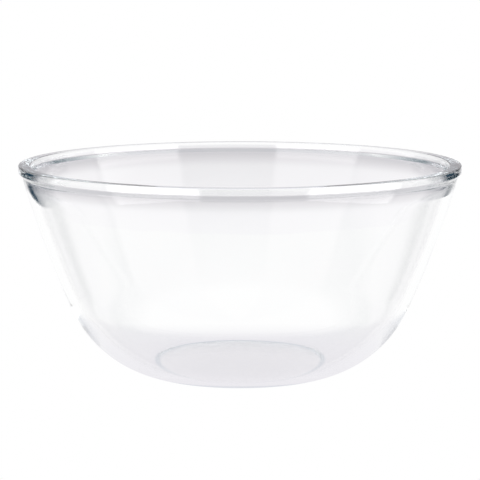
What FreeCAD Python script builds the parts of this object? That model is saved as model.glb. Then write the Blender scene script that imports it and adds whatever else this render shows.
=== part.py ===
"""A clear pressed-glass mixing bowl of about three litres.

The bowl is one piece of glass, so the model is one solid: a closed outline turned once round the Z axis.
The frame is +Z up, with the origin at the centre of the ring that the bowl stands on.

The outline, from the middle of the underside round to the middle of the floor:
- a slightly hollow underside, inside a narrow flat foot ring;
- a round heel that turns up into a slightly curved, leaning wall;
- a rim band that stands out from the wall, with an upright land and a sloping underside;
- a flat rim top that a lid can rest on;
- an inside wall that runs parallel to the outside and turns upright at the lip, so that the glass thickens
  towards the rim;
- a round inside corner that meets the flat floor at a softly rounded crease, just inside the foot.
"""

import FreeCAD, Part
import math
import os

# Driving dimensions, in millimetres and degrees.
RIM_DIAMETER = 240.0
HEIGHT = 115.0
RIM_WIDTH = 7.0
RIM_OUTER_ROUND = 0.8
RIM_INNER_ROUND = 1.4

BAND_LAND = 4.0
BAND_SLOPE_HEIGHT = 2.1
BAND_OVERHANG = 1.92
BAND_ROUND = 1.2
NECK_ROUND = 1.0

WALL_THICKNESS = 4.6
WALL_LEAN_AT_RIM = 15.0
WALL_CURVE_RADIUS = 445.0

FLOOR_THICKNESS = 3.6
FLOOR_INSET = 2.9
FLOOR_LIFT = 14.0
FLOOR_CREASE_ROUND = 1.5

FOOT_RADIUS = 48.0
FOOT_LIFT = 12.9
FOOT_EDGE_ROUND = 12.0
FOOT_RING_WIDTH = 1.2
HOLLOW_DEPTH = 0.3

NODE = "bowl"


def point(radius, height):
    """A point of the outline, given as its distance from the axis and its height."""
    return FreeCAD.Vector(radius, 0.0, height)


def line(start, end):
    """A straight edge of the outline."""
    return Part.LineSegment(start, end).toShape()


def arc_about(centre, start, end):
    """The arc from start to end about centre, by the shorter way round."""
    middle = (start - centre) + (end - centre)
    middle.normalize()
    return Part.Arc(start, centre + middle * (start - centre).Length, end).toShape()


def rounded_corner(before, corner, after, radius):
    """The arc of this radius that rounds a corner between two straight runs: its start, its end and its edge."""
    to_before = (before - corner).normalize()
    to_after = (after - corner).normalize()
    half_turn = to_before.getAngle(to_after) / 2.0
    reach = radius / math.tan(half_turn)
    start = corner + to_before * reach
    end = corner + to_after * reach
    bisector = (to_before + to_after).normalize()
    centre = corner + bisector * (radius / math.sin(half_turn))
    return start, end, arc_about(centre, start, end)


def toward(centre, other, distance):
    """The point at this distance from centre, on the ray from centre through other."""
    return centre + (other - centre).normalize() * distance


def wall_centre(neck):
    """The centre of the wall's curve, which passes through the neck leaning by WALL_LEAN_AT_RIM."""
    lean = math.radians(WALL_LEAN_AT_RIM)
    return neck + FreeCAD.Vector(-math.cos(lean), 0.0, math.sin(lean)) * WALL_CURVE_RADIUS


def arc_into_wall(wall, wall_radius, start, lift):
    """The centre and radius of the arc that leaves start at this slope, in degrees, and runs smoothly into the wall.

    Its centre stands its own radius square off the starting slope. It also lies on the wall's side of the wall's
    centre by the difference of the two radii, and the two together give the radius.
    """
    slope = math.radians(lift)
    normal = FreeCAD.Vector(-math.sin(slope), 0.0, math.cos(slope))
    offset = start - wall
    radius = (wall_radius**2 - offset.Length**2) / (2.0 * (wall_radius + offset.dot(normal)))
    return start + normal * radius, radius


def centre_at_height(other, distance, height):
    """The centre at this height and this distance from another centre, on the side away from the axis."""
    rise = other.z - height
    return point(other.x + math.sqrt(distance**2 - rise**2), height)


def bowl_outline():
    """The edges of the outline, in order, closed along the axis."""
    rim_radius = RIM_DIAMETER / 2.0
    inner_wall_radius = WALL_CURVE_RADIUS - WALL_THICKNESS
    rim_corner = point(rim_radius, HEIGHT)
    land_end = point(rim_radius, HEIGHT - BAND_LAND)
    neck = point(rim_radius - BAND_OVERHANG, land_end.z - BAND_SLOPE_HEIGHT)
    wall = wall_centre(neck)

    # Outside, upwards: the hollow underside, the foot ring, the heel and the wall.
    heel, heel_radius = arc_into_wall(wall, WALL_CURVE_RADIUS, point(FOOT_RADIUS, 0.0), FOOT_LIFT)
    foot_edge = centre_at_height(heel, heel_radius - FOOT_EDGE_ROUND, FOOT_EDGE_ROUND)
    foot_outer = point(foot_edge.x, 0.0)
    foot_inner = point(foot_outer.x - FOOT_RING_WIDTH, 0.0)
    underside_middle = point(0.0, HOLLOW_DEPTH)
    hollow_radius = (foot_inner.x**2 + HOLLOW_DEPTH**2) / (2.0 * HOLLOW_DEPTH)
    hollow = point(0.0, HOLLOW_DEPTH - hollow_radius)
    heel_start = toward(heel, foot_edge, heel_radius)
    wall_start = toward(wall, heel, WALL_CURVE_RADIUS)
    edges = [
        arc_about(hollow, underside_middle, foot_inner),
        line(foot_inner, foot_outer),
        arc_about(foot_edge, foot_outer, heel_start),
        arc_about(heel, heel_start, wall_start),
    ]

    # The rim band: its neck, sloping underside, upright land and flat top.
    wall_run = FreeCAD.Vector(-(neck - wall).z, 0.0, (neck - wall).x).normalize()
    neck_a, neck_b, neck_arc = rounded_corner(neck - wall_run, neck, land_end, NECK_ROUND)
    band_a, band_b, band_arc = rounded_corner(neck, land_end, rim_corner, BAND_ROUND)
    lip_corner = point(rim_radius - RIM_WIDTH, HEIGHT)
    top_a, top_b, top_arc = rounded_corner(land_end, rim_corner, lip_corner, RIM_OUTER_ROUND)
    edges += [
        arc_about(wall, wall_start, neck_a),
        neck_arc,
        line(neck_b, band_a),
        band_arc,
        line(band_b, top_a),
        top_arc,
    ]

    # Inside, downwards: the lip, the wall, the corner and the floor.
    lip_a, lip_b, lip_arc = rounded_corner(
        rim_corner, lip_corner, lip_corner - point(0.0, HEIGHT), RIM_INNER_ROUND
    )
    lip_reach = lip_b.x - wall.x
    lip_rise = lip_b.z - wall.z
    lip_radius = (inner_wall_radius**2 - lip_reach**2 - lip_rise**2) / (
        2.0 * (inner_wall_radius - lip_reach)
    )
    lip = point(lip_b.x - lip_radius, lip_b.z)
    lip_end = toward(wall, lip, inner_wall_radius)
    floor_edge = point(FOOT_RADIUS - FLOOR_INSET, FLOOR_THICKNESS)
    corner, corner_radius = arc_into_wall(wall, inner_wall_radius, floor_edge, FLOOR_LIFT)
    corner_start = toward(wall, corner, inner_wall_radius)
    crease = centre_at_height(corner, corner_radius - FLOOR_CREASE_ROUND, FLOOR_THICKNESS + FLOOR_CREASE_ROUND)
    crease_start = toward(corner, crease, corner_radius)
    crease_end = point(crease.x, FLOOR_THICKNESS)
    floor_middle = point(0.0, FLOOR_THICKNESS)
    edges += [
        line(top_b, lip_a),
        lip_arc,
        arc_about(lip, lip_b, lip_end),
        arc_about(wall, lip_end, corner_start),
        arc_about(corner, corner_start, crease_start),
        arc_about(crease, crease_start, crease_end),
        line(crease_end, floor_middle),
        line(floor_middle, underside_middle),
    ]
    return edges


def bowl():
    """The whole bowl: its outline turned once round the axis."""
    face = Part.Face(Part.Wire(bowl_outline()))
    return face.revolve(FreeCAD.Vector(0, 0, 0), FreeCAD.Vector(0, 0, 1), 360.0)


os.makedirs("parts", exist_ok=True)
solid = bowl()
solid.exportStep(os.path.join("parts", NODE + ".step"))
print(NODE, "valid", solid.isValid(), "volume in cm3", round(solid.Volume / 1000.0, 1))
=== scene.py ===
"""A clear pressed-glass mixing bowl and the plain white studio that it stands in.

The bowl is one pressing, so it is one closed surface of revolution: an outline of straight runs and
smoothly joined arcs is turned once round the Z axis, with the slight waviness that a mould and plunger
leave in glass. The bowl's sizes are in millimetres, and its mesh and the studio are in metres.
"""

import logging
import math
from dataclasses import dataclass, field
from enum import Enum

import bpy
import numpy as np
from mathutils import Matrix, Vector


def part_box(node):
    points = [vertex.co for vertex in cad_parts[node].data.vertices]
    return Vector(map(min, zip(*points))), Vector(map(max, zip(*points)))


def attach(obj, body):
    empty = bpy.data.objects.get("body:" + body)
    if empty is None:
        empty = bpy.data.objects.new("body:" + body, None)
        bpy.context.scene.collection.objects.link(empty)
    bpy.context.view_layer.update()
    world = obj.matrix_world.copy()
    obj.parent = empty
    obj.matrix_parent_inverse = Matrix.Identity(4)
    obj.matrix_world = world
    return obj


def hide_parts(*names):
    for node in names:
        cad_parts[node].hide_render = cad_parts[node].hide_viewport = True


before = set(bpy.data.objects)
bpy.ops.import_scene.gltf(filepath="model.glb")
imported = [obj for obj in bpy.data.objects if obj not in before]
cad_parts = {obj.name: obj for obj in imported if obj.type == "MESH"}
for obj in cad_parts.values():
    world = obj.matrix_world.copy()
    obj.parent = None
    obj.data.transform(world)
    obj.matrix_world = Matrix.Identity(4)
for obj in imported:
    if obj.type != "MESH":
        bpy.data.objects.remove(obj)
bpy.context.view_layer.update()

log = logging.getLogger("mixing_bowl")

MM = 0.001
NODE = "bowl"
BODY = "root"


def linear(hex_colour: str) -> tuple[float, float, float, float]:
    """Turns an sRGB hex colour into linear light.

    Args:
        hex_colour: Six hex digits, such as "f2f4f5".

    Returns:
        Red, green and blue in linear light, and an alpha of 1.
    """
    srgb = np.array([int(hex_colour[i : i + 2], 16) for i in (0, 2, 4)]) / 255.0
    light = np.where(srgb <= 0.04045, srgb / 12.92, ((srgb + 0.055) / 1.055) ** 2.4)
    return (*light.tolist(), 1.0)


def add_node(
    tree: bpy.types.NodeTree, kind: str, settings: dict | None = None, links: dict | None = None
) -> bpy.types.Node:
    """Adds one node, with its settings and what feeds it.

    Args:
        tree: The node tree of a material or a world.
        kind: The node's type name.
        settings: Values by name. A name of the node itself sets that property, and any other sets a socket.
        links: Output sockets by the name or number of the socket that each one feeds.

    Returns:
        The new node.
    """
    node = tree.nodes.new(kind)
    for name, value in (settings or {}).items():
        if isinstance(name, str) and hasattr(node, name):
            setattr(node, name, value)
        else:
            node.inputs[name].default_value = value
    for name, source in (links or {}).items():
        tree.links.new(source, node.inputs[name])
    return node


# ---------------------------------------------------------------- the outline


def at(radius: float, height: float) -> np.ndarray:
    """A point of the outline: its distance from the axis and its height."""
    return np.array([radius, height], float)


def unit(vector: np.ndarray) -> np.ndarray:
    """The vector at length one."""
    return vector / np.hypot(*vector)


@dataclass
class Outline:
    """A chain of straight runs and arcs, sampled into points as it grows.

    Attributes:
        step: The longest distance between two points on an arc.
        turn: The largest turn between two points on an arc, in degrees.
    """

    step: float = 1.7
    turn: float = 7.0
    points: list[np.ndarray] = field(default_factory=list)

    def line(self, start: np.ndarray, end: np.ndarray, step: float = 9.0) -> None:
        """Adds a straight run: evenly spaced shares of the way from start to end.

        Args:
            start: Where the run starts.
            end: Where the run ends.
            step: The longest distance between two of its points.
        """
        count = max(2, math.ceil(np.hypot(*(end - start)) / step) + 1)
        share = np.linspace(0.0, 1.0, count)[:, None]
        self.points.append(start + (end - start) * share)

    def arc(self, centre: np.ndarray, start: np.ndarray, end: np.ndarray) -> None:
        """Adds the shorter arc about a centre: the centre plus its radius, turned evenly from start to end.

        Args:
            centre: The arc's centre.
            start: Where the arc starts.
            end: Where the arc ends.
        """
        radius = np.hypot(*(start - centre))
        first = math.atan2(*(start - centre)[::-1])
        last = math.atan2(*(end - centre)[::-1])
        sweep = (last - first + math.pi) % (2.0 * math.pi) - math.pi
        by_length = abs(sweep) * radius / self.step
        by_turn = abs(math.degrees(sweep)) / self.turn
        angle = first + sweep * np.linspace(0.0, 1.0, max(4, math.ceil(max(by_length, by_turn)) + 1))
        self.points.append(centre + radius * np.stack([np.cos(angle), np.sin(angle)], axis=1))

    def corner(
        self, before: np.ndarray, corner: np.ndarray, after: np.ndarray, radius: float
    ) -> tuple[np.ndarray, np.ndarray, np.ndarray]:
        """Works out the arc that rounds a corner between two straight runs.

        Args:
            before: A point on the run that comes in.
            corner: Where the two runs would meet.
            after: A point on the run that goes out.
            radius: The rounding's radius.

        Returns:
            The arc's centre, start and end.
        """
        back, ahead = unit(before - corner), unit(after - corner)
        half_turn = math.acos(float(np.clip(back @ ahead, -1.0, 1.0))) / 2.0
        reach = radius / math.tan(half_turn)
        centre = corner + unit(back + ahead) * (radius / math.sin(half_turn))
        return centre, corner + back * reach, corner + ahead * reach

    def closed(self) -> np.ndarray:
        """The whole chain's points in order, without the repeated one at each join."""
        chain = np.vstack(self.points)
        fresh = np.hypot(*np.diff(chain, axis=0).T) > 1e-4
        return chain[np.concatenate([[True], fresh])]


@dataclass(frozen=True)
class BowlSizes:
    """The bowl's sizes, in millimetres and degrees, with its rim and height taken from the frame."""

    rim_radius: float
    height: float
    rim_width: float = 7.0
    rim_outer_round: float = 0.8
    rim_inner_round: float = 1.4
    band_land: float = 4.0
    band_slope_height: float = 2.1
    band_overhang: float = 1.92
    band_round: float = 1.2
    neck_round: float = 1.0
    wall_thickness: float = 4.6
    wall_lean_at_rim: float = 15.0
    wall_curve_radius: float = 445.0
    floor_thickness: float = 3.6
    floor_inset: float = 2.9
    floor_lift: float = 14.0
    floor_crease_round: float = 1.5
    foot_radius: float = 48.0
    foot_lift: float = 12.9
    foot_edge_round: float = 12.0
    foot_ring_width: float = 1.2
    hollow_depth: float = 0.3


@dataclass
class BowlOutline:
    """The closed outline of the bowl, from the middle of the underside round to the middle of the floor."""

    sizes: BowlSizes
    outline: Outline = field(default_factory=Outline)

    def wall_centre(self) -> np.ndarray:
        """The centre of the wall's curve, which passes through the neck at the wall's lean."""
        lean = math.radians(self.sizes.wall_lean_at_rim)
        return self.neck() + at(-math.cos(lean), math.sin(lean)) * self.sizes.wall_curve_radius

    def neck(self) -> np.ndarray:
        """Where the wall meets the sloping underside of the rim band."""
        s = self.sizes
        return at(s.rim_radius - s.band_overhang, s.height - s.band_land - s.band_slope_height)

    def arc_into_wall(self, wall_radius: float, start: np.ndarray, lift: float) -> tuple[np.ndarray, float]:
        """Works out the arc that leaves a point at a slope and runs smoothly into the wall.

        Its centre stands its own radius square off the starting slope, and also lies short of the wall's
        curve by that radius, measured from the wall's centre. The two together give the radius.

        Args:
            wall_radius: The radius of the wall's face that the arc joins.
            start: Where the arc starts.
            lift: Its slope there, in degrees.

        Returns:
            The arc's centre and its radius.
        """
        slope = math.radians(lift)
        normal = at(-math.sin(slope), math.cos(slope))
        offset = start - self.wall_centre()
        radius = (wall_radius**2 - offset @ offset) / (2.0 * (wall_radius + offset @ normal))
        return start + normal * radius, radius

    @staticmethod
    def centre_at_height(other: np.ndarray, distance: float, height: float) -> np.ndarray:
        """The centre at this height and this distance from another, on the side away from the axis."""
        return at(other[0] + math.sqrt(distance**2 - (other[1] - height) ** 2), height)

    def add_foot(self) -> np.ndarray:
        """Adds the hollow underside, the foot ring, the foot's edge and the heel.

        Returns:
            Where the heel meets the wall's curve.
        """
        s, chain = self.sizes, self.outline
        heel, heel_radius = self.arc_into_wall(s.wall_curve_radius, at(s.foot_radius, 0.0), s.foot_lift)
        edge = self.centre_at_height(heel, heel_radius - s.foot_edge_round, s.foot_edge_round)
        ring_outer = at(edge[0], 0.0)
        ring_inner = at(edge[0] - s.foot_ring_width, 0.0)
        middle = at(0.0, s.hollow_depth)
        hollow = at(0.0, s.hollow_depth - (ring_inner[0] ** 2 + s.hollow_depth**2) / (2.0 * s.hollow_depth))
        heel_start = heel + unit(edge - heel) * heel_radius
        chain.arc(hollow, middle, ring_inner)
        chain.line(ring_inner, ring_outer)
        chain.arc(edge, ring_outer, heel_start)
        wall = self.wall_centre()
        wall_start = wall + unit(heel - wall) * s.wall_curve_radius
        chain.arc(heel, heel_start, wall_start)
        return wall_start

    def add_rim(self, wall_start: np.ndarray) -> None:
        """Adds the outside of the wall, the rim band and the flat rim top.

        Args:
            wall_start: Where the wall's curve takes over from the heel.
        """
        s, chain = self.sizes, self.outline
        wall, neck = self.wall_centre(), self.neck()
        land_end = at(s.rim_radius, s.height - s.band_land)
        rim_corner = at(s.rim_radius, s.height)
        lip_corner = at(s.rim_radius - s.rim_width, s.height)
        run = unit(at(-(neck - wall)[1], (neck - wall)[0]))
        neck_arc = chain.corner(neck - run, neck, land_end, s.neck_round)
        band_arc = chain.corner(neck, land_end, rim_corner, s.band_round)
        top_arc = chain.corner(land_end, rim_corner, lip_corner, s.rim_outer_round)
        lip_arc = chain.corner(rim_corner, lip_corner, lip_corner - at(0.0, s.height), s.rim_inner_round)
        chain.arc(wall, wall_start, neck_arc[1])
        chain.arc(*neck_arc)
        chain.line(neck_arc[2], band_arc[1])
        chain.arc(*band_arc)
        chain.line(band_arc[2], top_arc[1])
        chain.arc(*top_arc)
        chain.line(top_arc[2], lip_arc[1])
        chain.arc(*lip_arc)

    def add_inside(self) -> None:
        """Adds the lip's upright turn, the inside of the wall, the inside corner and the floor."""
        s, chain = self.sizes, self.outline
        wall, face_radius = self.wall_centre(), s.wall_curve_radius - s.wall_thickness
        top = s.height - s.rim_inner_round
        lip_x = s.rim_radius - s.rim_width
        reach, rise = lip_x - wall[0], top - wall[1]
        lip_radius = (face_radius**2 - reach**2 - rise**2) / (2.0 * (face_radius - reach))
        lip = at(lip_x - lip_radius, top)
        lip_end = wall + unit(lip - wall) * face_radius
        floor_edge = at(s.foot_radius - s.floor_inset, s.floor_thickness)
        corner, corner_radius = self.arc_into_wall(face_radius, floor_edge, s.floor_lift)
        corner_start = wall + unit(corner - wall) * face_radius
        crease = self.centre_at_height(
            corner, corner_radius - s.floor_crease_round, s.floor_thickness + s.floor_crease_round
        )
        crease_start = corner + unit(crease - corner) * corner_radius
        crease_end = at(crease[0], s.floor_thickness)
        chain.arc(lip, at(lip_x, top), lip_end)
        chain.arc(wall, lip_end, corner_start)
        chain.arc(corner, corner_start, crease_start)
        chain.arc(crease, crease_start, crease_end)
        chain.line(crease_end, at(0.0, s.floor_thickness))

    def points(self) -> np.ndarray:
        """The outline's points, as one array of distances from the axis and heights."""
        self.add_rim(self.add_foot())
        self.add_inside()
        return self.outline.closed()


# ---------------------------------------------------------------- the glass


@dataclass(frozen=True)
class PressedGlass:
    """Clear soda-lime glass, pressed hot and then fire-polished.

    The mould leaves it smooth and glossy all over, and the polish rounds its edges, so it shows by what it
    bends and reflects. A trace of iron takes a little red out of the light, which shows only where the light
    runs a long way through the glass, along the rim.
    """

    name: str = "pressed_soda_lime_glass"
    ior: float = 1.52
    roughness: float = 0.0
    tint: str = "b4dce6"
    density: float = 0.8

    def material(self) -> bpy.types.Material:
        """Makes the material.

        Returns:
            A glass with no colour on its surface and a faint absorption in its body.
        """
        material = bpy.data.materials.new(self.name)
        material.use_nodes = True
        tree = material.node_tree
        tree.nodes.clear()
        surface = add_node(
            tree,
            "ShaderNodeBsdfPrincipled",
            {
                "Base Color": linear("ffffff"),
                "Roughness": self.roughness,
                "IOR": self.ior,
                "Transmission Weight": 1.0,
            },
        )
        body = add_node(
            tree, "ShaderNodeVolumeAbsorption", {"Color": linear(self.tint), "Density": self.density}
        )
        add_node(
            tree,
            "ShaderNodeOutputMaterial",
            links={"Surface": surface.outputs["BSDF"], "Volume": body.outputs["Volume"]},
        )
        return material


@dataclass(frozen=True)
class Wave:
    """One slow wave in the pressed surface.

    Attributes:
        share: Its part of the whole waviness.
        around: How many times it repeats in one turn round the bowl.
        up: How fast its phase grows with height, in radians per 100 mm.
        out: How fast its phase grows with the distance from the axis, in radians per 100 mm.
        start: Its phase at the start, in radians.
    """

    share: float
    around: float
    up: float
    out: float
    start: float


@dataclass
class GlassBowl:
    """The whole bowl, which stands for its CAD node with a finer surface.

    Attributes:
        sizes: The bowl's sizes.
        finish: Its glass.
        turns: The number of steps round the axis.
        wave: The waviness, in millimetres.
        waves: What the waviness is made of.
        plain_rim: How far below the rim's top the waviness starts, in millimetres.
        fade: The height over which it grows from nothing, in millimetres.
    """

    sizes: BowlSizes
    finish: PressedGlass = field(default_factory=PressedGlass)
    turns: int = 400
    wave: float = 0.012
    waves: tuple[Wave, ...] = (
        Wave(share=0.5, around=7.0, up=9.0, out=2.0, start=0.0),
        Wave(share=0.3, around=12.0, up=-14.0, out=5.0, start=1.3),
        Wave(share=0.2, around=19.0, up=23.0, out=-4.0, start=4.1),
    )
    plain_rim: float = 9.0
    fade: float = 12.0

    def waviness(self, radius: np.ndarray, height: np.ndarray, angle: np.ndarray) -> np.ndarray:
        """The slight unevenness that pressing leaves, in millimetres along the surface's normal.

        It is the sum of slow sine waves round the bowl and up its wall, each with its own phase, scaled to
        the wave height. It fades to nothing on the foot and the rim, which are gauged flat.

        Args:
            radius: Distance from the axis of each point of the outline.
            height: Height of each point of the outline.
            angle: The turns round the axis.

        Returns:
            One value for each turn and each point of the outline.
        """
        up = height[None, :] / 100.0
        out = radius[None, :] / 100.0
        around = angle[:, None]
        waves = sum(
            wave.share * np.sin(wave.around * around + wave.up * up + wave.out * out + wave.start)
            for wave in self.waves
        )
        off_foot = np.clip(height / self.fade, 0.0, 1.0)
        off_rim = np.clip((self.sizes.height - self.plain_rim - height) / self.fade, 0.0, 1.0)
        return self.wave * waves * (off_foot * off_rim)[None, :]

    def surface(self) -> tuple[np.ndarray, np.ndarray]:
        """Turns the outline round the axis.

        A point at distance r and height z goes to (r cos a, r sin a, z) at each turn a, pushed by the
        waviness along the outline's normal. The outline's two ends lie on the axis and become one point each.

        Returns:
            The corners in metres, and four corner numbers for each face, with a repeated one at the poles.
        """
        outline = BowlOutline(self.sizes).points()
        along = np.gradient(outline, axis=0)
        along /= np.hypot(along[:, 0], along[:, 1])[:, None]
        normal = np.stack([along[:, 1], -along[:, 0]], axis=1)
        angle = np.arange(self.turns) * (2.0 * math.pi / self.turns)
        push = self.waviness(outline[:, 0], outline[:, 1], angle)
        ring = (outline[None] + push[..., None] * normal[None])[:, 1:-1]
        cos, sin = np.cos(angle)[:, None], np.sin(angle)[:, None]
        body = np.stack([ring[..., 0] * cos, ring[..., 0] * sin, ring[..., 1]], axis=-1)
        rows = body.shape[1]
        poles = np.array([[0.0, 0.0, outline[0, 1]], [0.0, 0.0, outline[-1, 1]]])
        corners = np.vstack([body.reshape(-1, 3), poles]) * MM
        here = np.arange(self.turns)[:, None] * rows + np.arange(rows - 1)[None, :]
        there = (np.arange(self.turns)[:, None] + 1) % self.turns * rows + np.arange(rows - 1)[None, :]
        walls = np.stack([here, there, there + 1, here + 1], axis=-1).reshape(-1, 4)
        first = np.arange(self.turns) * rows
        following = np.roll(first, -1)
        under = np.stack([np.full(self.turns, self.turns * rows), following, first], axis=-1)
        floor = np.stack([np.full(self.turns, self.turns * rows + 1), first, following], axis=-1)
        floor[:, 1:] += rows - 1
        caps = np.vstack([under, floor])
        return corners, [*walls.tolist(), *caps.tolist()]

    def build(self) -> bpy.types.Object:
        """Makes the bowl's object, dresses it and ties it to the frame.

        Returns:
            The bowl.
        """
        corners, faces = self.surface()
        mesh = bpy.data.meshes.new("glass_bowl")
        mesh.from_pydata(corners, [], faces)
        mesh.validate()
        mesh.polygons.foreach_set("use_smooth", np.ones(len(mesh.polygons), bool))
        bowl = bpy.data.objects.new("glass_bowl", mesh)
        bpy.context.scene.collection.objects.link(bowl)
        mesh.materials.append(self.finish.material())
        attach(bowl, BODY)
        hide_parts(NODE)
        log.info("%s: %d faces", bowl.name, len(mesh.polygons))
        return bowl


# ---------------------------------------------------------------- the studio


class Glow(Enum):
    """How a strip of the room is lit by height.

    Each stop is an elevation in degrees and a colour, from low to high.
    """

    KEY = (
        (-2.0, "ffffff"),
        (11.0, "ffffff"),
        (16.0, "a8a8aa"),
        (22.0, "868688"),
        (34.0, "777779"),
        (48.0, "8c8c8e"),
    )
    FILL = (
        (-30.0, "ffffff"),
        (-4.0, "f4f3f6"),
        (5.0, "e2e0e5"),
        (19.0, "e2e0e5"),
        (25.0, "8a959b"),
        (34.0, "b2b8bd"),
        (48.0, "ffffff"),
    )
    CORNER = (
        (-22.0, "ffffff"),
        (-16.0, "2a4454"),
        (6.0, "1f3546"),
        (10.0, "e2e0e5"),
        (19.0, "e2e0e5"),
        (25.0, "8a959b"),
        (34.0, "b2b8bd"),
        (48.0, "ffffff"),
    )
    BACKDROP = (
        (-9.0, "ffffff"),
        (-7.5, "fcfbfd"),
        (-6.5, "f7f6f8"),
        (-5.5, "f0eff1"),
        (-4.5, "eae8eb"),
        (-3.5, "e4e2e5"),
        (-2.5, "dedcdf"),
        (-1.0, "d6d4d8"),
        (6.0, "d8d6da"),
        (16.0, "cccbcf"),
        (38.0, "b8bcc2"),
        (60.0, "ffffff"),
    )
    DARK = (
        (-30.0, "ffffff"),
        (-14.0, "33454f"),
        (5.0, "283843"),
        (26.0, "34434c"),
        (34.0, "a0a8ae"),
        (48.0, "ffffff"),
    )


@dataclass(frozen=True)
class SoftPanel:
    """A tall soft panel of light: an upright strip of the room.

    Attributes:
        azimuth: The direction of its middle, in degrees round from the camera's side, right positive.
        half_width: Half the angle that it spans, in degrees.
        edge: The angle over which its sides fade, in degrees.
        radiance: The brightness of its whitest height, with a white card at 1.
        glow: How it is lit by height.
    """

    azimuth: float
    half_width: float
    edge: float
    radiance: float
    glow: Glow


@dataclass(frozen=True)
class ProductCamera:
    """The camera: level across, pitched down at the bowl from a little above the rim."""

    distance: float = 1.3588
    height: float = 0.2610
    pitch: float = 7.888
    lens: float = 188.68
    sensor: float = 36.0

    def build(self) -> bpy.types.Object:
        """Makes the camera and sets it as the scene's.

        Returns:
            The camera.
        """
        data = bpy.data.cameras.new("product_camera")
        data.sensor_width = self.sensor
        data.lens = self.lens
        data.clip_start, data.clip_end = 0.05, 100.0
        camera = bpy.data.objects.new("product_camera", data)
        camera.location = (0.0, -self.distance, self.height)
        camera.rotation_euler = (math.radians(90.0 - self.pitch), 0.0, 0.0)
        bpy.context.scene.collection.objects.link(camera)
        bpy.context.scene.camera = camera
        return camera


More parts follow.
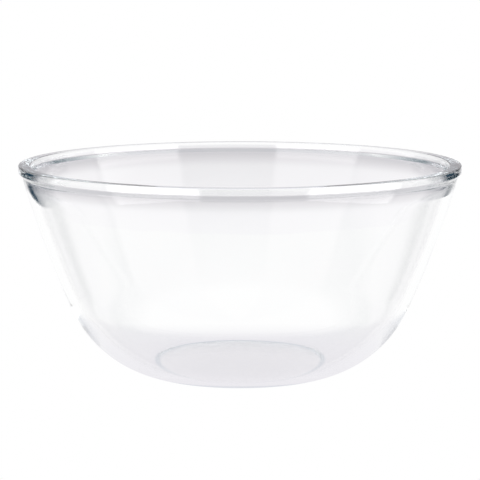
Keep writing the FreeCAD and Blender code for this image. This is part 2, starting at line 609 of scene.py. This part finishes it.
@dataclass(frozen=True)
class Studio:
    """A glowing table that runs on past the view, and a room of soft light and dark strips.

    The camera sees both as plain white. The glass sees them toned, and dark in places, which gives it its
    lines.

    Attributes:
        white: What the camera sees.
        table_x: The table's left and right ends.
        table_y: Its near and far ends.
        gap: How far its surface lies below the foot, so that the two faces don't coincide.
        bounces: How often light may reflect or bend on its way through the glass.
        dark: The room where no panel stands.
        back: The backdrop, which is laid on last and reaches as far on both sides.
        panels: The panels, each laid over the ones before it.
        painted_shadow: The table's glow by distance from the axis, with painted shade: a soft painted shade
            under the
        bowl and a darker painted ring of shade where the foot stands.
    """

    white: str = "ffffff"
    table_x: tuple[float, float] = (-0.30, 0.34)
    table_y: tuple[float, float] = (-0.55, 0.55)
    gap: float = 0.0001
    bounces: int = 48
    dark: Glow = Glow.DARK
    back: SoftPanel = SoftPanel(azimuth=180.0, half_width=23.0, edge=5.0, radiance=1.0, glow=Glow.BACKDROP)
    panels: tuple[SoftPanel, ...] = (
        SoftPanel(azimuth=63.0, half_width=27.0, edge=2.0, radiance=3.4, glow=Glow.KEY),
        SoftPanel(azimuth=-46.5, half_width=25.5, edge=2.0, radiance=3.4, glow=Glow.KEY),
        SoftPanel(azimuth=117.0, half_width=25.0, edge=4.0, radiance=1.0, glow=Glow.FILL),
        SoftPanel(azimuth=-107.0, half_width=35.0, edge=4.0, radiance=1.0, glow=Glow.FILL),
        SoftPanel(azimuth=138.0, half_width=21.0, edge=3.0, radiance=1.0, glow=Glow.CORNER),
        SoftPanel(azimuth=-138.0, half_width=21.0, edge=3.0, radiance=1.0, glow=Glow.CORNER),
    )
    # Painted shade on the table, by distance from the axis in metres: a soft painted shade under the bowl and
    # a darker painted ring where the foot stands.
    painted_shadow: tuple[tuple[float, str], ...] = (
        (0.0, "efedf1"),
        (0.0440, "efedf1"),
        (0.0466, "c9cfd8"),
        (0.0480, "c9cfd8"),
        (0.0496, "eeecf1"),
        (0.085, "f2f1f4"),
        (0.14, "ffffff"),
    )

    def table(self) -> bpy.types.Object:
        """Makes the table: one sheet that glows as a light table does, with painted shade where the bowl
        stands.

        Its glow and its painted shade depend only on the distance from the axis, and the camera itself sees
        the table white.

        Returns:
            The table.
        """
        (left, right), (near, far) = self.table_x, self.table_y
        corners = [(x, y, -self.gap) for x, y in ((left, near), (right, near), (right, far), (left, far))]
        mesh = bpy.data.meshes.new("white_table")
        mesh.from_pydata(corners, [], [(0, 1, 2, 3)])
        table = bpy.data.objects.new("white_table", mesh)
        bpy.context.scene.collection.objects.link(table)
        material = bpy.data.materials.new("white_light_table")
        material.use_nodes = True
        tree = material.node_tree
        tree.nodes.clear()
        place = add_node(tree, "ShaderNodeNewGeometry")
        reach = add_node(
            tree, "ShaderNodeVectorMath", {"operation": "LENGTH"}, {0: place.outputs["Position"]}
        )
        # The table's painted shade, laid into its glow by distance from the axis.
        shade = self.ramp(tree, reach.outputs["Value"], self.painted_shadow)
        seen = self.white_to_camera(tree, shade.outputs["Color"])
        glow = add_node(tree, "ShaderNodeEmission", {"Strength": 1.0}, {"Color": seen.outputs[2]})
        add_node(tree, "ShaderNodeOutputMaterial", links={"Surface": glow.outputs["Emission"]})
        mesh.materials.append(material)
        return table

    @staticmethod
    def ramp(
        tree: bpy.types.NodeTree, value: bpy.types.NodeSocket, stops: tuple[tuple[float, str], ...]
    ) -> bpy.types.Node:
        """Adds a colour ramp over a value.

        Args:
            tree: The node tree of a material or the world.
            value: What the colour depends on.
            stops: A value and a colour for each stop, from low to high.

        Returns:
            The ramp node.
        """
        low, high = stops[0][0], stops[-1][0]
        share = add_node(tree, "ShaderNodeMapRange", {"From Min": low, "From Max": high}, {"Value": value})
        node = add_node(tree, "ShaderNodeValToRGB", links={"Fac": share.outputs[0]})
        marks = node.color_ramp.elements
        while len(marks) < len(stops):
            marks.new(0.5)
        for mark, (place, colour) in zip(marks, stops):
            mark.position = (place - low) / (high - low)
            mark.color = linear(colour)
        return node

    def white_to_camera(self, tree: bpy.types.NodeTree, colour: bpy.types.NodeSocket) -> bpy.types.Node:
        """Adds a mix that shows plain white to the camera and a colour to all other light.

        Args:
            tree: The node tree of a material or the world.
            colour: The colour for all other light.

        Returns:
            The mix node, with its colour on output 2.
        """
        path = add_node(tree, "ShaderNodeLightPath")
        return add_node(
            tree,
            "ShaderNodeMix",
            {"data_type": "RGBA", 7: linear(self.white)},
            {"Factor": path.outputs["Is Camera Ray"], 6: colour},
        )

    def room(self) -> bpy.types.World:
        """Makes the room's light.

        Its brightness depends only on direction. The backdrop is white below the table's far edge, greyer
        above it and white again overhead. The camera's side is dark round the horizon and white overhead, and
        a key panel stands on each side of it. Fill panels stand round the sides. The corners beside the
        backdrop are dark low down. The camera itself sees white.

        Returns:
            The world that holds the light.
        """
        world = bpy.data.worlds.new("studio_room")
        world.use_nodes = True
        bpy.context.scene.world = world
        tree = world.node_tree
        tree.nodes.clear()
        place = add_node(tree, "ShaderNodeTexCoord")
        axes = add_node(tree, "ShaderNodeSeparateXYZ", links={0: place.outputs["Generated"]})
        sine = add_node(tree, "ShaderNodeMath", {"operation": "ARCSINE"}, {0: axes.outputs["Z"]})
        lift = add_node(tree, "ShaderNodeMath", {"operation": "DEGREES"}, {0: sine.outputs[0]})
        ahead = add_node(tree, "ShaderNodeMath", {"operation": "MULTIPLY", 1: -1.0}, {0: axes.outputs["Y"]})
        round_axis = add_node(
            tree, "ShaderNodeMath", {"operation": "ARCTAN2"}, {0: axes.outputs["X"], 1: ahead.outputs[0]}
        )
        turn = add_node(tree, "ShaderNodeMath", {"operation": "DEGREES"}, {0: round_axis.outputs[0]})
        level = self.ramp(tree, lift.outputs[0], self.dark.value).outputs["Color"]
        half_turn = add_node(tree, "ShaderNodeMath", {"operation": "ABSOLUTE"}, {0: turn.outputs[0]})
        for panel in (*self.panels, self.back):
            glow = self.ramp(tree, lift.outputs[0], panel.glow.value).outputs["Color"]
            lit = add_node(
                tree, "ShaderNodeVectorMath", {"operation": "SCALE", "Scale": panel.radiance}, {0: glow}
            )
            around = half_turn if panel is self.back else turn
            level = self.over(tree, around.outputs[0], panel, level, lit.outputs[0])
        seen = self.white_to_camera(tree, level)
        light = add_node(tree, "ShaderNodeBackground", links={"Color": seen.outputs[2]})
        add_node(tree, "ShaderNodeOutputWorld", links={"Surface": light.outputs["Background"]})
        return world

    @staticmethod
    def over(
        tree: bpy.types.NodeTree,
        turn: bpy.types.NodeSocket,
        panel: SoftPanel,
        outside: bpy.types.NodeSocket,
        inside: bpy.types.NodeSocket,
    ) -> bpy.types.NodeSocket:
        """Lays one colour over another within a strip of directions.

        Args:
            tree: The world's node tree.
            turn: The direction's azimuth, in degrees.
            panel: The strip.
            outside: The colour outside it.
            inside: The colour inside it.

        Returns:
            The mixed colour.
        """
        aside = add_node(tree, "ShaderNodeMath", {"operation": "SUBTRACT", 1: panel.azimuth}, {0: turn})
        away = add_node(tree, "ShaderNodeMath", {"operation": "ABSOLUTE"}, {0: aside.outputs[0]})
        within = add_node(
            tree,
            "ShaderNodeMapRange",
            {
                "interpolation_type": "SMOOTHSTEP",
                "From Min": panel.half_width + panel.edge,
                "From Max": panel.half_width - panel.edge,
            },
            {"Value": away.outputs[0]},
        )
        mix = add_node(
            tree,
            "ShaderNodeMix",
            {"data_type": "RGBA"},
            {"Factor": within.outputs[0], 6: outside, 7: inside},
        )
        return mix.outputs[2]

    def build(self) -> None:
        """Sets up the table and the room, and lets light follow its whole way through the glass."""
        self.table()
        self.room()
        paths = bpy.context.scene.cycles
        paths.max_bounces = paths.glossy_bounces = paths.transmission_bounces = self.bounces
        settings = bpy.context.scene.view_settings
        settings.view_transform = "Standard"
        settings.look = "None"


def main() -> None:
    """Builds the camera, the bowl and the studio in order."""
    logging.basicConfig(level=logging.INFO, format="%(name)s: %(message)s")
    low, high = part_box(NODE)
    ProductCamera().build()
    GlassBowl(BowlSizes(rim_radius=(high.x - low.x) / 2.0 / MM, height=high.z / MM)).build()
    Studio().build()


if __name__ == "__main__":
    main()
